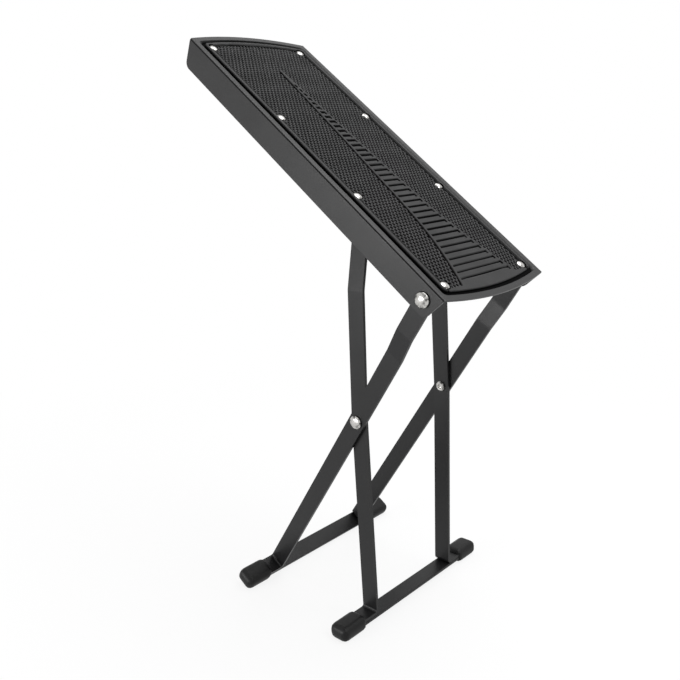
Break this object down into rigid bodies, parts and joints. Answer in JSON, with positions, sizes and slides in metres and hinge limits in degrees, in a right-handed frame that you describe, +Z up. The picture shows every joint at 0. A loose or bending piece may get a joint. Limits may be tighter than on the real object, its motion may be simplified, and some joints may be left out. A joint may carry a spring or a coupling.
{
  "type": "folding foot rest",
  "caption": "Folding foot rest: a tilted rubber-topped tray on riveted leg frames that cross like scissors, latched by a notched rack under the tray and folding flat",
  "frame": {"origin": "on the floor under the middle of the bounding box", "axes": "+Z up; X along the tread with its low end at +X; Y across the tread with the left side at -Y"},
  "size_m": [0.2314, 0.1628, 0.4002],
  "materials": {
    "leg_coating": "satin black powder coat",
    "tray_coating": "satin black powder coat",
    "rack_coating": "satin black powder coat",
    "rod_steel": "bright zinc",
    "rivet_nickel": "nickel plated",
    "pad_rubber": "matte, knurled",
    "cap_rubber": "matte"
  },
  "bodies": {
    "outer_leg_frame": {"outer_leg_left": "leg_coating", "outer_leg_right": "leg_coating", "outer_crossbar": "leg_coating", "outer_foot_cap_left": "cap_rubber", "outer_foot_cap_right": "cap_rubber", "scissor_rivet_left": "rivet_nickel", "scissor_rivet_right": "rivet_nickel", "pivot_rivet_left": "rivet_nickel", "pivot_rivet_right": "rivet_nickel"},
    "inner_leg_frame": {"inner_leg_left": "leg_coating", "inner_leg_right": "leg_coating", "inner_crossbar": "leg_coating", "inner_foot_cap_left": "cap_rubber", "inner_foot_cap_right": "cap_rubber", "latch_rod": "rod_steel"},
    "platform": {"platform_tray": "tray_coating", "rubber_pad": "pad_rubber", "pad_rivet_1": "rivet_nickel", "pad_rivet_2": "rivet_nickel", "pad_rivet_3": "rivet_nickel", "pad_rivet_4": "rivet_nickel", "pad_rivet_5": "rivet_nickel", "pad_rivet_6": "rivet_nickel", "pad_rivet_7": "rivet_nickel", "pad_rivet_8": "rivet_nickel", "rack_rail_left": "rack_coating", "rack_rail_right": "rack_coating"}
  },
  "joints": [
    {"name": "platform_swing", "type": "hinge", "parent": "outer_leg_frame", "child": "platform", "pos_m": [0.09549, 0, 0.24257], "axis": [0, -1, 0], "range_deg": [0, 91.9]},
    {"name": "leg_fold", "type": "hinge", "parent": "outer_leg_frame", "child": "inner_leg_frame", "pos_m": [0.03894, 0, 0.14957], "axis": [0, -1, 0], "range_deg": [0, 143.6]}
  ],
  "couplings": [
    {"joint": "leg_fold", "follows": "platform_swing", "ratio": 1.5625}
  ]
}
